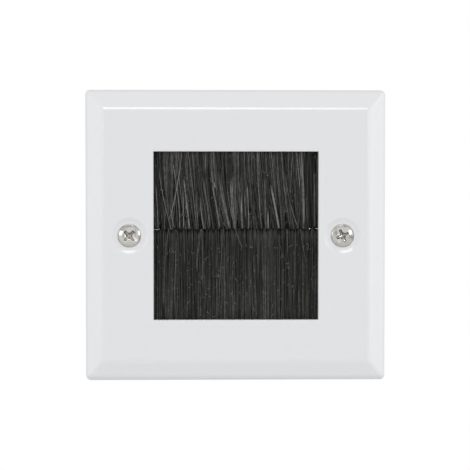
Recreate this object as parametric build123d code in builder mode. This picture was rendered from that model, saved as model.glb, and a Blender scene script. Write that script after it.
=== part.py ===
from build123d import *

import os
from math import cos, pi, sin

# Single-gang brush wall plate: a bevelled white plate whose square opening is closed by two
# facing rows of black bristles, so that cables pass through the wall behind a neat front.

os.makedirs("parts", exist_ok=True)

# Driving dimensions, in millimetres
# X runs to the right, Y into the wall, Z up. The wall is the plane Y = 0, the plate stands in
# front of it, and the origin is midway between the two fixing screws. A depth below is measured
# from the wall towards the room, that is along -Y.

# Face plate, outside
plate_width = 86.0
plate_height = 83.3
plate_depth = 9.0
skirt_depth = 3.2
side_bevel = 5.2
top_bevel = 5.85
ridge_radius = 2.2
rim_radius = 1.4
wall = 2.0
bevel_wall = 2.8
hollow_skirt = 2.35

# Opening for the cables, set out from the edges of the plate
side_border = 19.7
top_border = 17.85
aperture_edge_radius = 0.3

# Fixing to the wall box: screw axes set in from the sides of the plate, 60.3 apart
fixing_inset = 12.85
fixing_bore_radius = 2.1
fixing_pillar_radius = 4.3
fixing_pillar_rear = 0.4
dish_radius = 4.2
dish_rim_radius = 5.1
dish_flare = 0.2
dish_depth = 0.6
seat_radius = 3.4

# Strip brushes
strip_thickness = 0.6
strip_half_width = 2.1
strip_pinch = 0.3
mouth_setback = 1.4
lip_height = 0.5
pinch_height = 0.8
leg_height = 3.1
wire_radius = 0.65
brush_overlap = 1.7
channel_overhang = 3.0
grip_clearance = 0.03

# Bristles, modelled as strands that each stand for a small bunch of filaments
strand_width = 0.62
strand_thickness = 0.5
strand_pitch = 0.82
strand_row_spacing = 0.95
strand_margin = 0.3
strand_grip = 0.8
upper_tip_height = 2.2
lower_tip_height = 2.0
tip_unevenness = 0.08
# Rear row and front row: lean of the tips to the right, and tilt away from the other row
upper_rows = [(-1.5, 1.2), (6.0, -1.2)]
lower_rows = [(-2.0, 1.1), (2.0, -1.1)]

# Cradle moulded behind the face
fit_clearance = 0.2
cheek_clearance = 0.3
cradle_wall = 1.2
cradle_rear = 3.0
cheek_thickness = 1.6
cheek_rear = 0.5
rib_thickness = 1.1
rib_rear = 2.4
side_rib_rear = 2.0

# Retaining bars and their screws
bar_thickness = 1.5
bar_height = 6.4
bar_hole_radius = 1.2
boss_setout = 4.5
boss_radius = 2.5
pilot_radius = 0.95
pilot_depth = 3.6
thread_clearance = 0.05
retaining_head_radius = 2.0
retaining_head_height = 1.0
retaining_shank_length = 4.6
retaining_recess_width = 0.55
retaining_recess_span = 2.2
retaining_recess_depth = 0.6

# Fixing screws, M3.5 x 25 raised countersunk
screw_head_radius = 3.2
screw_rim_height = 0.15
screw_dome_height = 0.7
screw_neck_radius = 1.55
screw_thread_radius = 1.75
screw_length = 25.0
screw_runout = 0.2
screw_seat_clearance = 0.05
recess_width = 0.9
recess_span = 3.7
recess_depth = 1.5
recess_taper = 12.0
left_recess_angle = 45.0
right_recess_angle = 24.0

# Values that follow from those above
aperture_width = plate_width - 2 * side_border
aperture_height = plate_height - 2 * top_border
fixing_pitch = plate_width - 2 * fixing_inset
fixing_spots = [(-fixing_pitch / 2, 0), (fixing_pitch / 2, 0)]
face_width = plate_width - 2 * side_bevel
face_height = plate_height - 2 * top_bevel
face_inside = plate_depth - wall
inside_share = wall / (plate_depth - skirt_depth)
hollow_face_width = face_width + 2 * inside_share * side_bevel - 2 * bevel_wall
hollow_face_height = face_height + 2 * inside_share * top_bevel - 2 * bevel_wall
dish_floor = plate_depth - dish_depth
flare_depth = dish_flare * dish_depth / (dish_rim_radius - dish_radius)

# The brushes lie against the back of the face
brush_depth = face_inside - strip_half_width
strip_mouth = aperture_height / 2 + mouth_setback
pinch_top = strip_mouth + lip_height + pinch_height
wire_height = pinch_top + leg_height
channel_back = wire_height + strip_half_width
channel_rear = brush_depth - strip_half_width
brush_width = aperture_width + 2 * brush_overlap
channel_length = brush_width + 2 * channel_overhang

cheek_inner = brush_width / 2 + cheek_clearance
cheek_height = 2 * (strip_mouth - fit_clearance)
cradle_length = channel_length + 2 * fit_clearance
cradle_height = 2 * (channel_back + fit_clearance)
bar_rear = channel_rear - bar_thickness
bar_centre = (strip_mouth + channel_back) / 2
boss_pitch = channel_length + 2 * boss_setout
boss_spots = GridLocations(boss_pitch, 2 * bar_centre, 2, 2).locations

# The ribs start inside the wall that they brace and end inside the skirt
rim_rib_inner = (cradle_height + cradle_wall) / 2
rim_rib_outer = (plate_height - wall) / 2
side_rib_inner = (fixing_pitch + fixing_bore_radius + fixing_pillar_radius) / 2
side_rib_outer = (plate_width - wall) / 2

screw_rim = dish_floor - (seat_radius - screw_head_radius) + screw_seat_clearance * 2**0.5
screw_neck = screw_rim - (screw_head_radius - screw_neck_radius)
screw_tip = screw_rim + screw_rim_height - screw_length
screw_top = screw_rim + screw_rim_height + screw_dome_height


def bevelled_section(base, top, straight, depth):
    """Corners of a section through the plate: straight sides from the wall, then a bevel."""
    return [
        (-base / 2, 0),
        (base / 2, 0),
        (base / 2, -straight),
        (top / 2, -depth),
        (-top / 2, -depth),
        (-base / 2, -straight),
    ]


def runs_round_a_corner(edge):
    """True for the edges between two neighbouring sides or bevels of the plate."""
    along = edge.tangent_at(0.5)
    return abs(along.X * along.Z) > 0.01 or abs(along.Y) > 0.99


# Plane of the section up: its first coordinate is the height, its second runs into the wall
upright_section = Plane(origin=(0, 0, 0), x_dir=(0, 0, 1), z_dir=(-1, 0, 0))
# Plane for turned profiles: its first coordinate is the radius, its second the depth
turning_section = Plane(origin=(0, 0, 0), x_dir=(1, 0, 0), z_dir=(0, 0, -1))

# Outside of the face plate, still solid: the section across, trimmed by the section up
with BuildPart() as plate_blank:
    with BuildSketch(Plane.XY):
        Polygon(*bevelled_section(plate_width, face_width, skirt_depth, plate_depth), align=None)
    extrude(amount=plate_height / 2, both=True)
    with BuildSketch(upright_section):
        Polygon(*bevelled_section(plate_height, face_height, skirt_depth, plate_depth), align=None)
    extrude(amount=plate_width / 2, both=True, mode=Mode.INTERSECT)
    fillet(plate_blank.edges().group_by(Axis.Y)[0], radius=ridge_radius)
    skirt_edge = plate_blank.edges().filter_by_position(
        Axis.Y, -skirt_depth - 0.01, -skirt_depth + 0.01
    )
    corner_edges = plate_blank.edges().filter_by(runs_round_a_corner)
    fillet(skirt_edge + corner_edges, radius=rim_radius)

# Hollow of the face plate, its walls of even thickness
with BuildPart() as hollow:
    with BuildSketch(Plane.XY):
        Polygon(
            *bevelled_section(
                plate_width - 2 * wall, hollow_face_width, hollow_skirt, face_inside
            ),
            align=None,
        )
    extrude(amount=plate_height / 2 - wall, both=True)
    with BuildSketch(upright_section):
        Polygon(
            *bevelled_section(
                plate_height - 2 * wall, hollow_face_height, hollow_skirt, face_inside
            ),
            align=None,
        )
    extrude(amount=plate_width / 2 - wall, both=True, mode=Mode.INTERSECT)

# Everything that is moulded on the back of the face, trimmed to the outside of the plate
with BuildPart() as back_work:
    # Stiffening ribs from the cradle to the rim, and from the pillars to the rim
    with BuildSketch(Plane.XZ.offset(rib_rear)):
        with GridLocations(channel_length / 2, rim_rib_inner + rim_rib_outer, 3, 2):
            Rectangle(rib_thickness, rim_rib_outer - rim_rib_inner)
    extrude(amount=face_inside - rib_rear)
    with BuildSketch(Plane.XZ.offset(side_rib_rear)):
        with GridLocations(side_rib_inner + side_rib_outer, 0, 2, 1):
            Rectangle(side_rib_outer - side_rib_inner, rib_thickness)
    extrude(amount=face_inside - side_rib_rear)

    # Pillars that carry the fixing screws, and the cheeks beside the bristles
    with BuildSketch(Plane.XZ.offset(fixing_pillar_rear)):
        with Locations(*fixing_spots):
            Circle(fixing_pillar_radius)
    extrude(amount=face_inside - fixing_pillar_rear)
    with BuildSketch(Plane.XZ.offset(cheek_rear)):
        with GridLocations(2 * cheek_inner + cheek_thickness, 0, 2, 1):
            Rectangle(cheek_thickness, cheek_height)
    extrude(amount=face_inside - cheek_rear)

    # Cradle walls round the outer side and the ends of each brush channel
    with BuildSketch(Plane.XZ.offset(cradle_rear)):
        Rectangle(cradle_length + 2 * cradle_wall, cradle_height + 2 * cradle_wall)
        Rectangle(cradle_length, cradle_height, mode=Mode.SUBTRACT)
        Rectangle(plate_width, cheek_height, mode=Mode.SUBTRACT)
    extrude(amount=face_inside - cradle_rear)

    # Bosses for the screws of the retaining bars
    with BuildSketch(Plane.XZ.offset(channel_rear)):
        with Locations(*boss_spots):
            Circle(boss_radius)
    extrude(amount=face_inside - channel_rear)
    add(plate_blank.part, mode=Mode.INTERSECT)

# Dish round a fixing screw: a flat floor, a sloping wall and a flatter flare at the rim
with BuildPart() as dish:
    with BuildSketch(turning_section):
        Polygon(
            (0, dish_floor),
            (dish_radius, dish_floor),
            (dish_rim_radius - dish_flare, plate_depth - flare_depth),
            (dish_rim_radius + dish_flare, plate_depth),
            (0, plate_depth),
            align=None,
        )
    revolve(axis=Axis.Y)

# Face plate: one moulding, the blank hollowed from behind with the back work left standing
with BuildPart() as face_plate:
    add(plate_blank.part)
    add(hollow.part, mode=Mode.SUBTRACT)
    add(back_work.part)

    # Pilot holes down the bosses
    with BuildSketch(Plane.XZ.offset(channel_rear)):
        with Locations(*boss_spots):
            Circle(pilot_radius)
    extrude(amount=pilot_depth, mode=Mode.SUBTRACT)

    # The opening, its front edge just broken
    with BuildSketch(Plane.XZ.offset(face_inside)):
        Rectangle(aperture_width, aperture_height)
    extrude(amount=wall, mode=Mode.SUBTRACT)
    fillet(face_plate.edges(Select.LAST).group_by(Axis.Y)[0], radius=aperture_edge_radius)

    # Dished screw seats, each with a right-angled countersink and a clearance bore
    with Locations(*[(across, 0, up) for across, up in fixing_spots]):
        add(dish.part, mode=Mode.SUBTRACT)
    with Locations(Plane.XZ.offset(dish_floor)):
        with Locations(*fixing_spots):
            CounterSinkHole(fixing_bore_radius, seat_radius, counter_sink_angle=90)


def folded_outline(half_width, mouth_half_width):
    """Section of a strip folded over the core wire: a round back, straight legs, a pinched mouth."""
    with BuildLine() as outline:
        leg = Polyline(
            (-mouth_half_width, strip_mouth),
            (-mouth_half_width, strip_mouth + lip_height),
            (-half_width, pinch_top),
            (-half_width, wire_height),
        )
        ThreePointArc(leg @ 1, (0, wire_height + half_width), (half_width, wire_height))
        mirror(leg, about=Plane.YZ)
        Line((-mouth_half_width, strip_mouth), (mouth_half_width, strip_mouth))
    return outline.line


# Brush channels: metal strip folded to a U along the wire, its lips pinched on the bristles
brush_section = Plane(origin=(0, -brush_depth, 0), x_dir=(0, 1, 0), z_dir=(1, 0, 0))
strip_inside = strip_half_width - strip_thickness
with BuildPart() as upper_channel:
    with BuildSketch(brush_section):
        make_face(folded_outline(strip_half_width, strip_half_width - strip_pinch))
        make_face(folded_outline(strip_inside, strip_inside - strip_pinch), mode=Mode.SUBTRACT)
    extrude(amount=channel_length / 2, both=True)

with BuildPart() as lower_channel:
    mirror(upper_channel.part, about=Plane.XY)

# Core wires that the bristles are doubled over
with BuildPart() as upper_core_wire:
    with BuildSketch(brush_section):
        with Locations((0, wire_height)):
            Circle(wire_radius)
    extrude(amount=channel_length / 2, both=True)

with BuildPart() as lower_core_wire:
    mirror(upper_core_wire.part, about=Plane.XY)


def strand_places(rows, side):
    """Where each strand leaves its root, for the brush above (side 1) or below (side -1). The
    lean of a row is full at the middle and dies out at both ends, so that no strands cross."""
    places = []
    strands = int((brush_width - strand_width - 2 * strand_margin) / strand_pitch) + 1
    for row, (lean, tilt) in enumerate(rows):
        offset = row - (len(rows) - 1) / 2
        for number in range(strands):
            across = (number - (strands - 1) / 2) * strand_pitch
            across += offset * strand_pitch / len(rows)
            unevenness = tip_unevenness * sin(1.7 * number + 2.3 * row)
            turn = -side * lean * cos(pi * across / brush_width)
            root = side * (strip_mouth + strand_grip + unevenness)
            depth = -brush_depth - offset * strand_row_spacing
            places.append(Location((across, depth, root), (side * tilt, turn, 0)))
    return places


# Bristles of the upper brush: doubled over the wire, gripped at the mouth, free below it
root_inside = strip_inside - grip_clearance
with BuildPart() as upper_bristles:
    with BuildSketch(brush_section):
        make_face(folded_outline(root_inside, root_inside - strip_pinch))
        with Locations((0, wire_height)):
            Circle(wire_radius + grip_clearance, mode=Mode.SUBTRACT)
    extrude(amount=brush_width / 2, both=True)
    upper_length = strip_mouth + strand_grip - upper_tip_height
    with Locations(*strand_places(upper_rows, 1)):
        Box(
            strand_width,
            strand_thickness,
            upper_length,
            align=(Align.CENTER, Align.CENTER, Align.MAX),
        )

# Bristles of the lower brush, longer, so that the two rows meet above the middle
with BuildPart() as lower_bristles:
    with BuildSketch(brush_section):
        make_face(folded_outline(root_inside, root_inside - strip_pinch))
        with Locations((0, wire_height)):
            Circle(wire_radius + grip_clearance, mode=Mode.SUBTRACT)
    extrude(amount=brush_width / 2, both=True)
    mirror(about=Plane.XY, mode=Mode.REPLACE)
    lower_length = strip_mouth + strand_grip + lower_tip_height
    with Locations(*strand_places(lower_rows, -1)):
        Box(
            strand_width,
            strand_thickness,
            lower_length,
            align=(Align.CENTER, Align.CENTER, Align.MIN),
        )

# Retaining bars: flat strip across the back of each channel, round-ended, with a hole at each end
with BuildPart() as upper_retaining_bar:
    with BuildSketch(Plane.XZ.offset(bar_rear)):
        with Locations((0, bar_centre)):
            SlotCenterToCenter(boss_pitch, bar_height)
            with GridLocations(boss_pitch, 0, 2, 1):
                Circle(bar_hole_radius, mode=Mode.SUBTRACT)
    extrude(amount=bar_thickness)

with BuildPart() as lower_retaining_bar:
    mirror(upper_retaining_bar.part, about=Plane.XY)

# Retaining screws: four alike, a crowned head on the bar and a shank down the boss
with BuildPart() as retaining_screws:
    with BuildSketch(Plane.XZ.offset(bar_rear - retaining_head_height)):
        with Locations(*boss_spots):
            Circle(retaining_head_radius)
    extrude(amount=retaining_head_height)
    with BuildSketch(Plane.XZ.offset(bar_rear)):
        with Locations(*boss_spots):
            Circle(pilot_radius - thread_clearance)
    extrude(amount=retaining_shank_length)
    with BuildSketch(Plane.XZ.offset(bar_rear - retaining_head_height)):
        with Locations(*boss_spots):
            Rectangle(retaining_recess_span, retaining_recess_width)
            Rectangle(retaining_recess_width, retaining_recess_span)
    extrude(amount=retaining_recess_depth, mode=Mode.SUBTRACT)

# Fixing screw: a raised countersunk head, a neck through the plate, and the threaded shank behind
# the wall plane
with BuildPart() as screw_blank:
    with BuildSketch(turning_section):
        with BuildLine():
            flank = Polyline(
                (0, screw_tip),
                (screw_thread_radius, screw_tip),
                (screw_thread_radius, 0),
                (screw_neck_radius, screw_runout),
                (screw_neck_radius, screw_neck),
                (screw_head_radius, screw_rim),
                (screw_head_radius, screw_rim + screw_rim_height),
            )
            TangentArc((0, screw_top), flank @ 1, tangent=(1, 0))
            Line((0, screw_top), flank @ 0)
        make_face()
    revolve(axis=Axis.Y)

# Fixing screws: two alike, each left at the angle that it was driven to
with BuildPart() as fixing_screws:
    with Locations(*[(across, 0, up) for across, up in fixing_spots]):
        add(screw_blank.part)
    with BuildSketch(Plane.XZ.offset(screw_top)):
        for spot, angle in zip(fixing_spots, (left_recess_angle, right_recess_angle)):
            with Locations(spot):
                Rectangle(recess_span, recess_width, rotation=angle)
                Rectangle(recess_span, recess_width, rotation=angle + 90)
    extrude(amount=-recess_depth, taper=recess_taper, mode=Mode.SUBTRACT)

pieces = {
    "face_plate": face_plate,
    "upper_channel": upper_channel,
    "lower_channel": lower_channel,
    "upper_core_wire": upper_core_wire,
    "lower_core_wire": lower_core_wire,
    "upper_bristles": upper_bristles,
    "lower_bristles": lower_bristles,
    "upper_retaining_bar": upper_retaining_bar,
    "lower_retaining_bar": lower_retaining_bar,
    "retaining_screws": retaining_screws,
    "fixing_screws": fixing_screws,
}
for label, piece in pieces.items():
    piece.part.label = label
    export_step(piece.part, f"parts/{label}.step")
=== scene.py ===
import math

import bpy
import numpy as np
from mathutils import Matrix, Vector


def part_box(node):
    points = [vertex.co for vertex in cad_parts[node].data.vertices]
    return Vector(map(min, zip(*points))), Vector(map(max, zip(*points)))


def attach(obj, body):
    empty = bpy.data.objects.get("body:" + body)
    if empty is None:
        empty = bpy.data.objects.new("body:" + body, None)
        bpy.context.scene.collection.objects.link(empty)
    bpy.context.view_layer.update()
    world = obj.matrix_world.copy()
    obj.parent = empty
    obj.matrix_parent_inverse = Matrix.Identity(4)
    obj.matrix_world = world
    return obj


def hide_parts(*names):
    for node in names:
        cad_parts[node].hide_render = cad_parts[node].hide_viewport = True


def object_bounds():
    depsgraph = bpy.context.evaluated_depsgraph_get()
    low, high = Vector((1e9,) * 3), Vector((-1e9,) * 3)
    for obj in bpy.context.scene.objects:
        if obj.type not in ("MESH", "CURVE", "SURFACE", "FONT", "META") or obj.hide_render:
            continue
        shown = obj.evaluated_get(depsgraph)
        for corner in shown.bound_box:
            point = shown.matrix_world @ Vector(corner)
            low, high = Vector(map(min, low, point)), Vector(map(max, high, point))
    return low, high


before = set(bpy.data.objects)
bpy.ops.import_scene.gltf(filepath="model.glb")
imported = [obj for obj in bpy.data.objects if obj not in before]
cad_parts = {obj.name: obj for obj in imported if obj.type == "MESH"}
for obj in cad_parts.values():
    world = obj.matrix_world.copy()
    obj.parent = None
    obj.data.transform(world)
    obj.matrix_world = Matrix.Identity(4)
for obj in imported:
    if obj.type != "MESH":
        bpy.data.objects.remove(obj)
cad_box = [list(map(float, corner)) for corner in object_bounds()]

# Face plate. One injection moulding in glossy white plastic with a bevelled rim, polished in the
# mould; one finish covers its front and its back with the ribs and pillars.
plate_white = (0.775, 0.781, 0.795, 1.0)
plate_shade = (0.760, 0.766, 0.780, 1.0)
# Painted shade for the outer edge of the rim
plate_rim_painted_shade = (0.615, 0.622, 0.645, 1.0)
# Sockets of a Mix node that mixes colours: the two colours, and the result
mix_first, mix_second, mix_result = 6, 7, 2


def new_material(name, roughness, metallic=0.0):
    """A material with one principled shader, and its nodes, links and shader for what follows."""
    material = bpy.data.materials.new(name)
    material.use_nodes = True
    nodes = material.node_tree.nodes
    links = material.node_tree.links
    shader = nodes["Principled BSDF"]
    shader.inputs["Roughness"].default_value = roughness
    shader.inputs["Metallic"].default_value = metallic
    return material, nodes, links, shader


def group_socket(group, name, kind, side, value=None):
    """A named input or output on a node group, with its usual value."""
    socket = group.interface.new_socket(name=name, in_out=side, socket_type=kind)
    if value is not None:
        socket.default_value = value
    return socket


def make_grain_group():
    """Moulded or worked grain: two sizes of noise in object space, mixed, as a height, and a slow
    drift from 0 to 1 for colour and roughness."""
    group = bpy.data.node_groups.new("worked_grain", "ShaderNodeTree")
    group_socket(group, "Fine Size", "NodeSocketFloat", "INPUT", 2500.0)
    group_socket(group, "Coarse Size", "NodeSocketFloat", "INPUT", 400.0)
    group_socket(group, "Stretch", "NodeSocketVector", "INPUT", (1.0, 1.0, 1.0))
    group_socket(group, "Height", "NodeSocketFloat", "OUTPUT")
    group_socket(group, "Drift", "NodeSocketFloat", "OUTPUT")
    nodes = group.nodes
    links = group.links
    start = nodes.new("NodeGroupInput")
    end = nodes.new("NodeGroupOutput")
    place = nodes.new("ShaderNodeTexCoord")
    stretch = nodes.new("ShaderNodeVectorMath")
    stretch.operation = "MULTIPLY"
    links.new(place.outputs["Object"], stretch.inputs[0])
    links.new(start.outputs["Stretch"], stretch.inputs[1])
    fine = nodes.new("ShaderNodeTexNoise")
    coarse = nodes.new("ShaderNodeTexNoise")
    for noise, socket in ((fine, "Fine Size"), (coarse, "Coarse Size")):
        links.new(stretch.outputs[0], noise.inputs["Vector"])
        links.new(start.outputs[socket], noise.inputs["Scale"])
        noise.inputs["Detail"].default_value = 2.0
    mix = nodes.new("ShaderNodeMix")
    mix.inputs["Factor"].default_value = 0.4
    links.new(coarse.outputs["Fac"], mix.inputs["A"])
    links.new(fine.outputs["Fac"], mix.inputs["B"])
    links.new(mix.outputs["Result"], end.inputs["Height"])
    links.new(coarse.outputs["Fac"], end.inputs["Drift"])
    return group


def add_grain(nodes, links, shader, fine, coarse, depth, stretch=(1.0, 1.0, 1.0)):
    """Places the grain group in a material as a bump of the given depth, and returns its node."""
    grain = nodes.new("ShaderNodeGroup")
    grain.node_tree = bpy.data.node_groups.get("worked_grain") or make_grain_group()
    grain.inputs["Fine Size"].default_value = fine
    grain.inputs["Coarse Size"].default_value = coarse
    grain.inputs["Stretch"].default_value = stretch
    bump = nodes.new("ShaderNodeBump")
    bump.inputs["Strength"].default_value = 1.0
    bump.inputs["Distance"].default_value = depth
    links.new(grain.outputs["Height"], bump.inputs["Height"])
    links.new(bump.outputs["Normal"], shader.inputs["Normal"])
    return grain


def vary(nodes, links, factor, low, high, target):
    """Spreads a factor from 0 to 1 between two values or two colours on a shader's socket."""
    if isinstance(low, tuple):
        mix = nodes.new("ShaderNodeMix")
        mix.data_type = "RGBA"
        mix.inputs[mix_first].default_value = low
        mix.inputs[mix_second].default_value = high
        links.new(factor, mix.inputs["Factor"])
        links.new(mix.outputs[mix_result], target)
        return mix
    spread = nodes.new("ShaderNodeMapRange")
    spread.inputs["To Min"].default_value = low
    spread.inputs["To Max"].default_value = high
    links.new(factor, spread.inputs["Value"])
    links.new(spread.outputs["Result"], target)
    return spread


def wear(node_name, material):
    """Gives a CAD node its finish."""
    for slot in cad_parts[node_name].material_slots:
        slot.material = material


white_plastic, nodes, links, shader = new_material("moulded_white_plastic", 0.22)
grain = add_grain(nodes, links, shader, 2600.0, 520.0, 0.000004)
drift = grain.outputs["Drift"]
base = shader.inputs["Base Color"]
tones = vary(nodes, links, drift, plate_shade, plate_white, base)
vary(nodes, links, drift, 0.16, 0.30, shader.inputs["Roughness"])
shader.inputs["IOR"].default_value = 1.5
# The outer edge of the rim is darkened with painted shade, most of all below, where less light
# reaches it. Each row holds the axis and side, the breadth of the band and how dark it is painted.
rim_end = 0.0001
place = nodes.new("ShaderNodeTexCoord")
axes = nodes.new("ShaderNodeSeparateXYZ")
links.new(place.outputs["Object"], axes.inputs[0])
edge = None
for axis, side, band, share in (
    (0, -1, 0.0010, 0.60),
    (0, 1, 0.0010, 0.40),
    (2, 1, 0.0010, 0.60),
    (2, -1, 0.0018, 1.00),
):
    near = nodes.new("ShaderNodeMapRange")
    near.inputs["From Min"].default_value = side * (cad_box[1][axis] - band)
    near.inputs["From Max"].default_value = side * (cad_box[1][axis] - rim_end)
    near.inputs["To Max"].default_value = share
    links.new(axes.outputs[axis], near.inputs["Value"])
    if edge is None:
        edge = near.outputs["Result"]
        continue
    most = nodes.new("ShaderNodeMath")
    most.operation = "MAXIMUM"
    links.new(edge, most.inputs[0])
    links.new(near.outputs["Result"], most.inputs[1])
    edge = most.outputs[0]
plate_rim_painted_darkening = nodes.new("ShaderNodeMix")
plate_rim_painted_darkening.data_type = "RGBA"
plate_rim_painted_darkening.inputs[mix_second].default_value = plate_rim_painted_shade
links.new(tones.outputs[mix_result], plate_rim_painted_darkening.inputs[mix_first])
links.new(edge, plate_rim_painted_darkening.inputs["Factor"])
links.new(plate_rim_painted_darkening.outputs[mix_result], base)
wear("face_plate", white_plastic)

# Brush channels and core wires. Aluminium strip folded over a drawn steel wire, its lips pinched
# on the bristles; each lies in the cradle behind the face, above and below the opening.
channel_metal, nodes, links, shader = new_material("folded_aluminium_strip", 0.38, 1.0)
grain = add_grain(nodes, links, shader, 5000.0, 700.0, 0.000006, (0.06, 1.0, 1.0))
drift = grain.outputs["Drift"]
base = shader.inputs["Base Color"]
vary(nodes, links, drift, (0.50, 0.51, 0.52, 1.0), (0.66, 0.67, 0.68, 1.0), base)
vary(nodes, links, drift, 0.30, 0.46, shader.inputs["Roughness"])
wire_steel, nodes, links, shader = new_material("drawn_steel_wire", 0.35, 1.0)
grain = add_grain(nodes, links, shader, 6000.0, 900.0, 0.000005, (0.05, 1.0, 1.0))
drift = grain.outputs["Drift"]
base = shader.inputs["Base Color"]
vary(nodes, links, drift, (0.46, 0.46, 0.47, 1.0), (0.60, 0.60, 0.61, 1.0), base)
vary(nodes, links, drift, 0.28, 0.42, shader.inputs["Roughness"])
for name in ("upper_channel", "lower_channel"):
    wear(name, channel_metal)
for name in ("upper_core_wire", "lower_core_wire"):
    wear(name, wire_steel)

# Brushes. Black nylon filaments, each one doubled over the core wire and gripped in the channel's
# mouth, so that it has a leg in front of the wire and a leg behind it. The upper ones are loose
# and lean to the lower right in small tufts; the lower ones are finer and packed nearly upright.
wire_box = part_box("upper_core_wire")
wire_height = (wire_box[0][2] + wire_box[1][2]) / 2
wire_depth = (wire_box[0][1] + wire_box[1][1]) / 2
wire_reach = (wire_box[1][2] - wire_box[0][2]) / 2
channel_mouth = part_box("upper_channel")[0][2]
brush_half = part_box("upper_bristles")[1][0]
# The line where the two rows meet: its height midway, and its climb to the right
seam_height = 0.00183
seam_climb = 0.006
# Places along a leg, round the wire and along a stray filament
leg_stations = 6
turn_stations = 4
stray_stations = 14
# How far outside the wire the innermost filament turns and how much farther the outermost one
# does, and the same for the depth of their legs from the middle of the wire
inner_turn = 0.00018
turn_spread = 0.00055
inner_leg = 0.00006
leg_spread = 0.00092
# What roots and tips keep clear of the ends of the brush, and how unevenly the roots stand
root_margin = 0.0003
tip_margin = 0.00015
root_scatter = 0.00006


def carry_section(path, radius, roll, sides):
    """Skin of many thin rods at once. path holds, for each rod, points along its middle line; each
    point carries a ring of the rod's radius, square to the line there and turned by the rod's roll,
    and neighbouring rings are joined by quads, with a cap at both ends. Returns points, quads and
    caps."""
    rods, stations, _ = path.shape
    along = np.gradient(path, axis=1)
    along /= np.linalg.norm(along, axis=2, keepdims=True)
    side = np.array([1.0, 0.0, 0.0])
    first = side - along * (along @ side)[..., None]
    first /= np.linalg.norm(first, axis=2, keepdims=True)
    second = np.cross(along, first)
    angle = roll[:, None] + np.linspace(0.0, 2.0 * np.pi, sides, endpoint=False)[None, :]
    ring = (
        first[:, :, None, :] * np.cos(angle)[:, None, :, None]
        + second[:, :, None, :] * np.sin(angle)[:, None, :, None]
    )
    points = path[:, :, None, :] + ring * radius[:, None, None, None]
    index = np.arange(rods * stations * sides).reshape(rods, stations, sides)
    after = np.roll(index, -1, axis=2)
    quads = np.stack(
        [index[:, :-1], after[:, :-1], after[:, 1:], index[:, 1:]], axis=-1
    ).reshape(-1, 4)
    caps = np.concatenate([index[:, 0, ::-1], index[:, -1, :]])
    return points.reshape(-1, 3), quads, caps


def build_mesh(name, points, face_sets, smooth=True):
    """A mesh object from an array of points and arrays of faces with equal corner counts."""
    mesh = bpy.data.meshes.new(name)
    faces = []
    for face_set in face_sets:
        faces.extend(np.asarray(face_set).tolist())
    mesh.from_pydata(np.asarray(points).tolist(), [], faces)
    mesh.polygons.foreach_set("use_smooth", np.full(len(mesh.polygons), smooth))
    mesh.update()
    piece = bpy.data.objects.new(name, mesh)
    bpy.context.scene.collection.objects.link(piece)
    return piece


def slow_wave(place, seed, lengths, amount):
    """A smooth uneven line along the brush: sines of the given lengths with phases drawn from the
    seed, each as high as the amount times the square root of its share of the longest."""
    rng = np.random.default_rng(seed)
    total = np.zeros_like(place)
    for length in lengths:
        total += amount * math.sqrt(length / max(lengths)) * np.sin(
            2.0 * np.pi * (place / length + rng.random())
        )
    return total


def free_leg(root_x, tip_x, root_depth, tip_depth, tip_height, bow):
    """Middle lines of free legs from the mouth to the tip. Across, they follow an even part and a
    power of the share of the way, so that they lean more towards the tip, with a half-sine bow; in
    depth they ease likewise; in height they run evenly."""
    late_part = 0.35
    late_power = 2.2
    even_part = 0.65
    share = np.linspace(0.0, 1.0, leg_stations)[None, :]
    ease = late_part * share**late_power + even_part * share
    x = root_x[:, None] + (tip_x - root_x)[:, None] * ease + bow[:, None] * np.sin(np.pi * share)
    depth = root_depth[:, None] + (tip_depth - root_depth)[:, None] * ease
    height = channel_mouth + (tip_height - channel_mouth)[:, None] * share
    return np.stack([x, depth, height], axis=-1)


def lay_brush(rng, count, travel, tips, tufts, pull, fan, set_back, bow):
    """Middle lines of a brush worked out upright: each filament climbs from its front tip to the
    mouth, turns half round over the wire and comes down behind to its other tip. The front tips
    of all but the inner ones are drawn towards the nearest tuft, each by its own share of the
    pull."""
    drawn_from = 0.3
    least_fan = 0.2
    start = np.linspace(-brush_half + root_margin, brush_half - root_margin, count)
    start = start + rng.normal(0.0, root_scatter, count)
    layer = rng.permutation(np.linspace(0.0, 1.0, count))
    turn_radius = wire_reach + inner_turn + turn_spread * layer
    offset = inner_leg + leg_spread * layer
    legs = []
    for front in (-1.0, 1.0):
        tip_x = start + travel(rng, start)
        nearest = tufts[np.argmin(np.abs(tip_x[:, None] - tufts[None, :]), axis=1)]
        drawn = pull * rng.random(count) * (layer > drawn_from) * (front < 0)
        tip_x = tip_x + (nearest - tip_x) * drawn
        tip_x = np.clip(tip_x, -brush_half + tip_margin, brush_half - tip_margin)
        root_depth = wire_depth + front * offset
        spread = rng.uniform(least_fan, 1.0, count)
        tip_depth = root_depth + front * fan * layer * spread + set_back
        tip_height = tips(rng, tip_x, front)
        sway = rng.normal(0.0, bow, count)
        legs.append(free_leg(start, tip_x, root_depth, tip_depth, tip_height, sway))
    turn = np.linspace(-math.pi / 2, math.pi / 2, turn_stations)[None, :]
    over = np.stack(
        [
            np.repeat(start[:, None], turn_stations, axis=1),
            wire_depth + turn_radius[:, None] * np.sin(turn),
            wire_height + turn_radius[:, None] * np.cos(turn),
        ],
        axis=-1,
    )
    return np.concatenate([legs[0][:, ::-1], over, legs[1]], axis=1)


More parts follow.
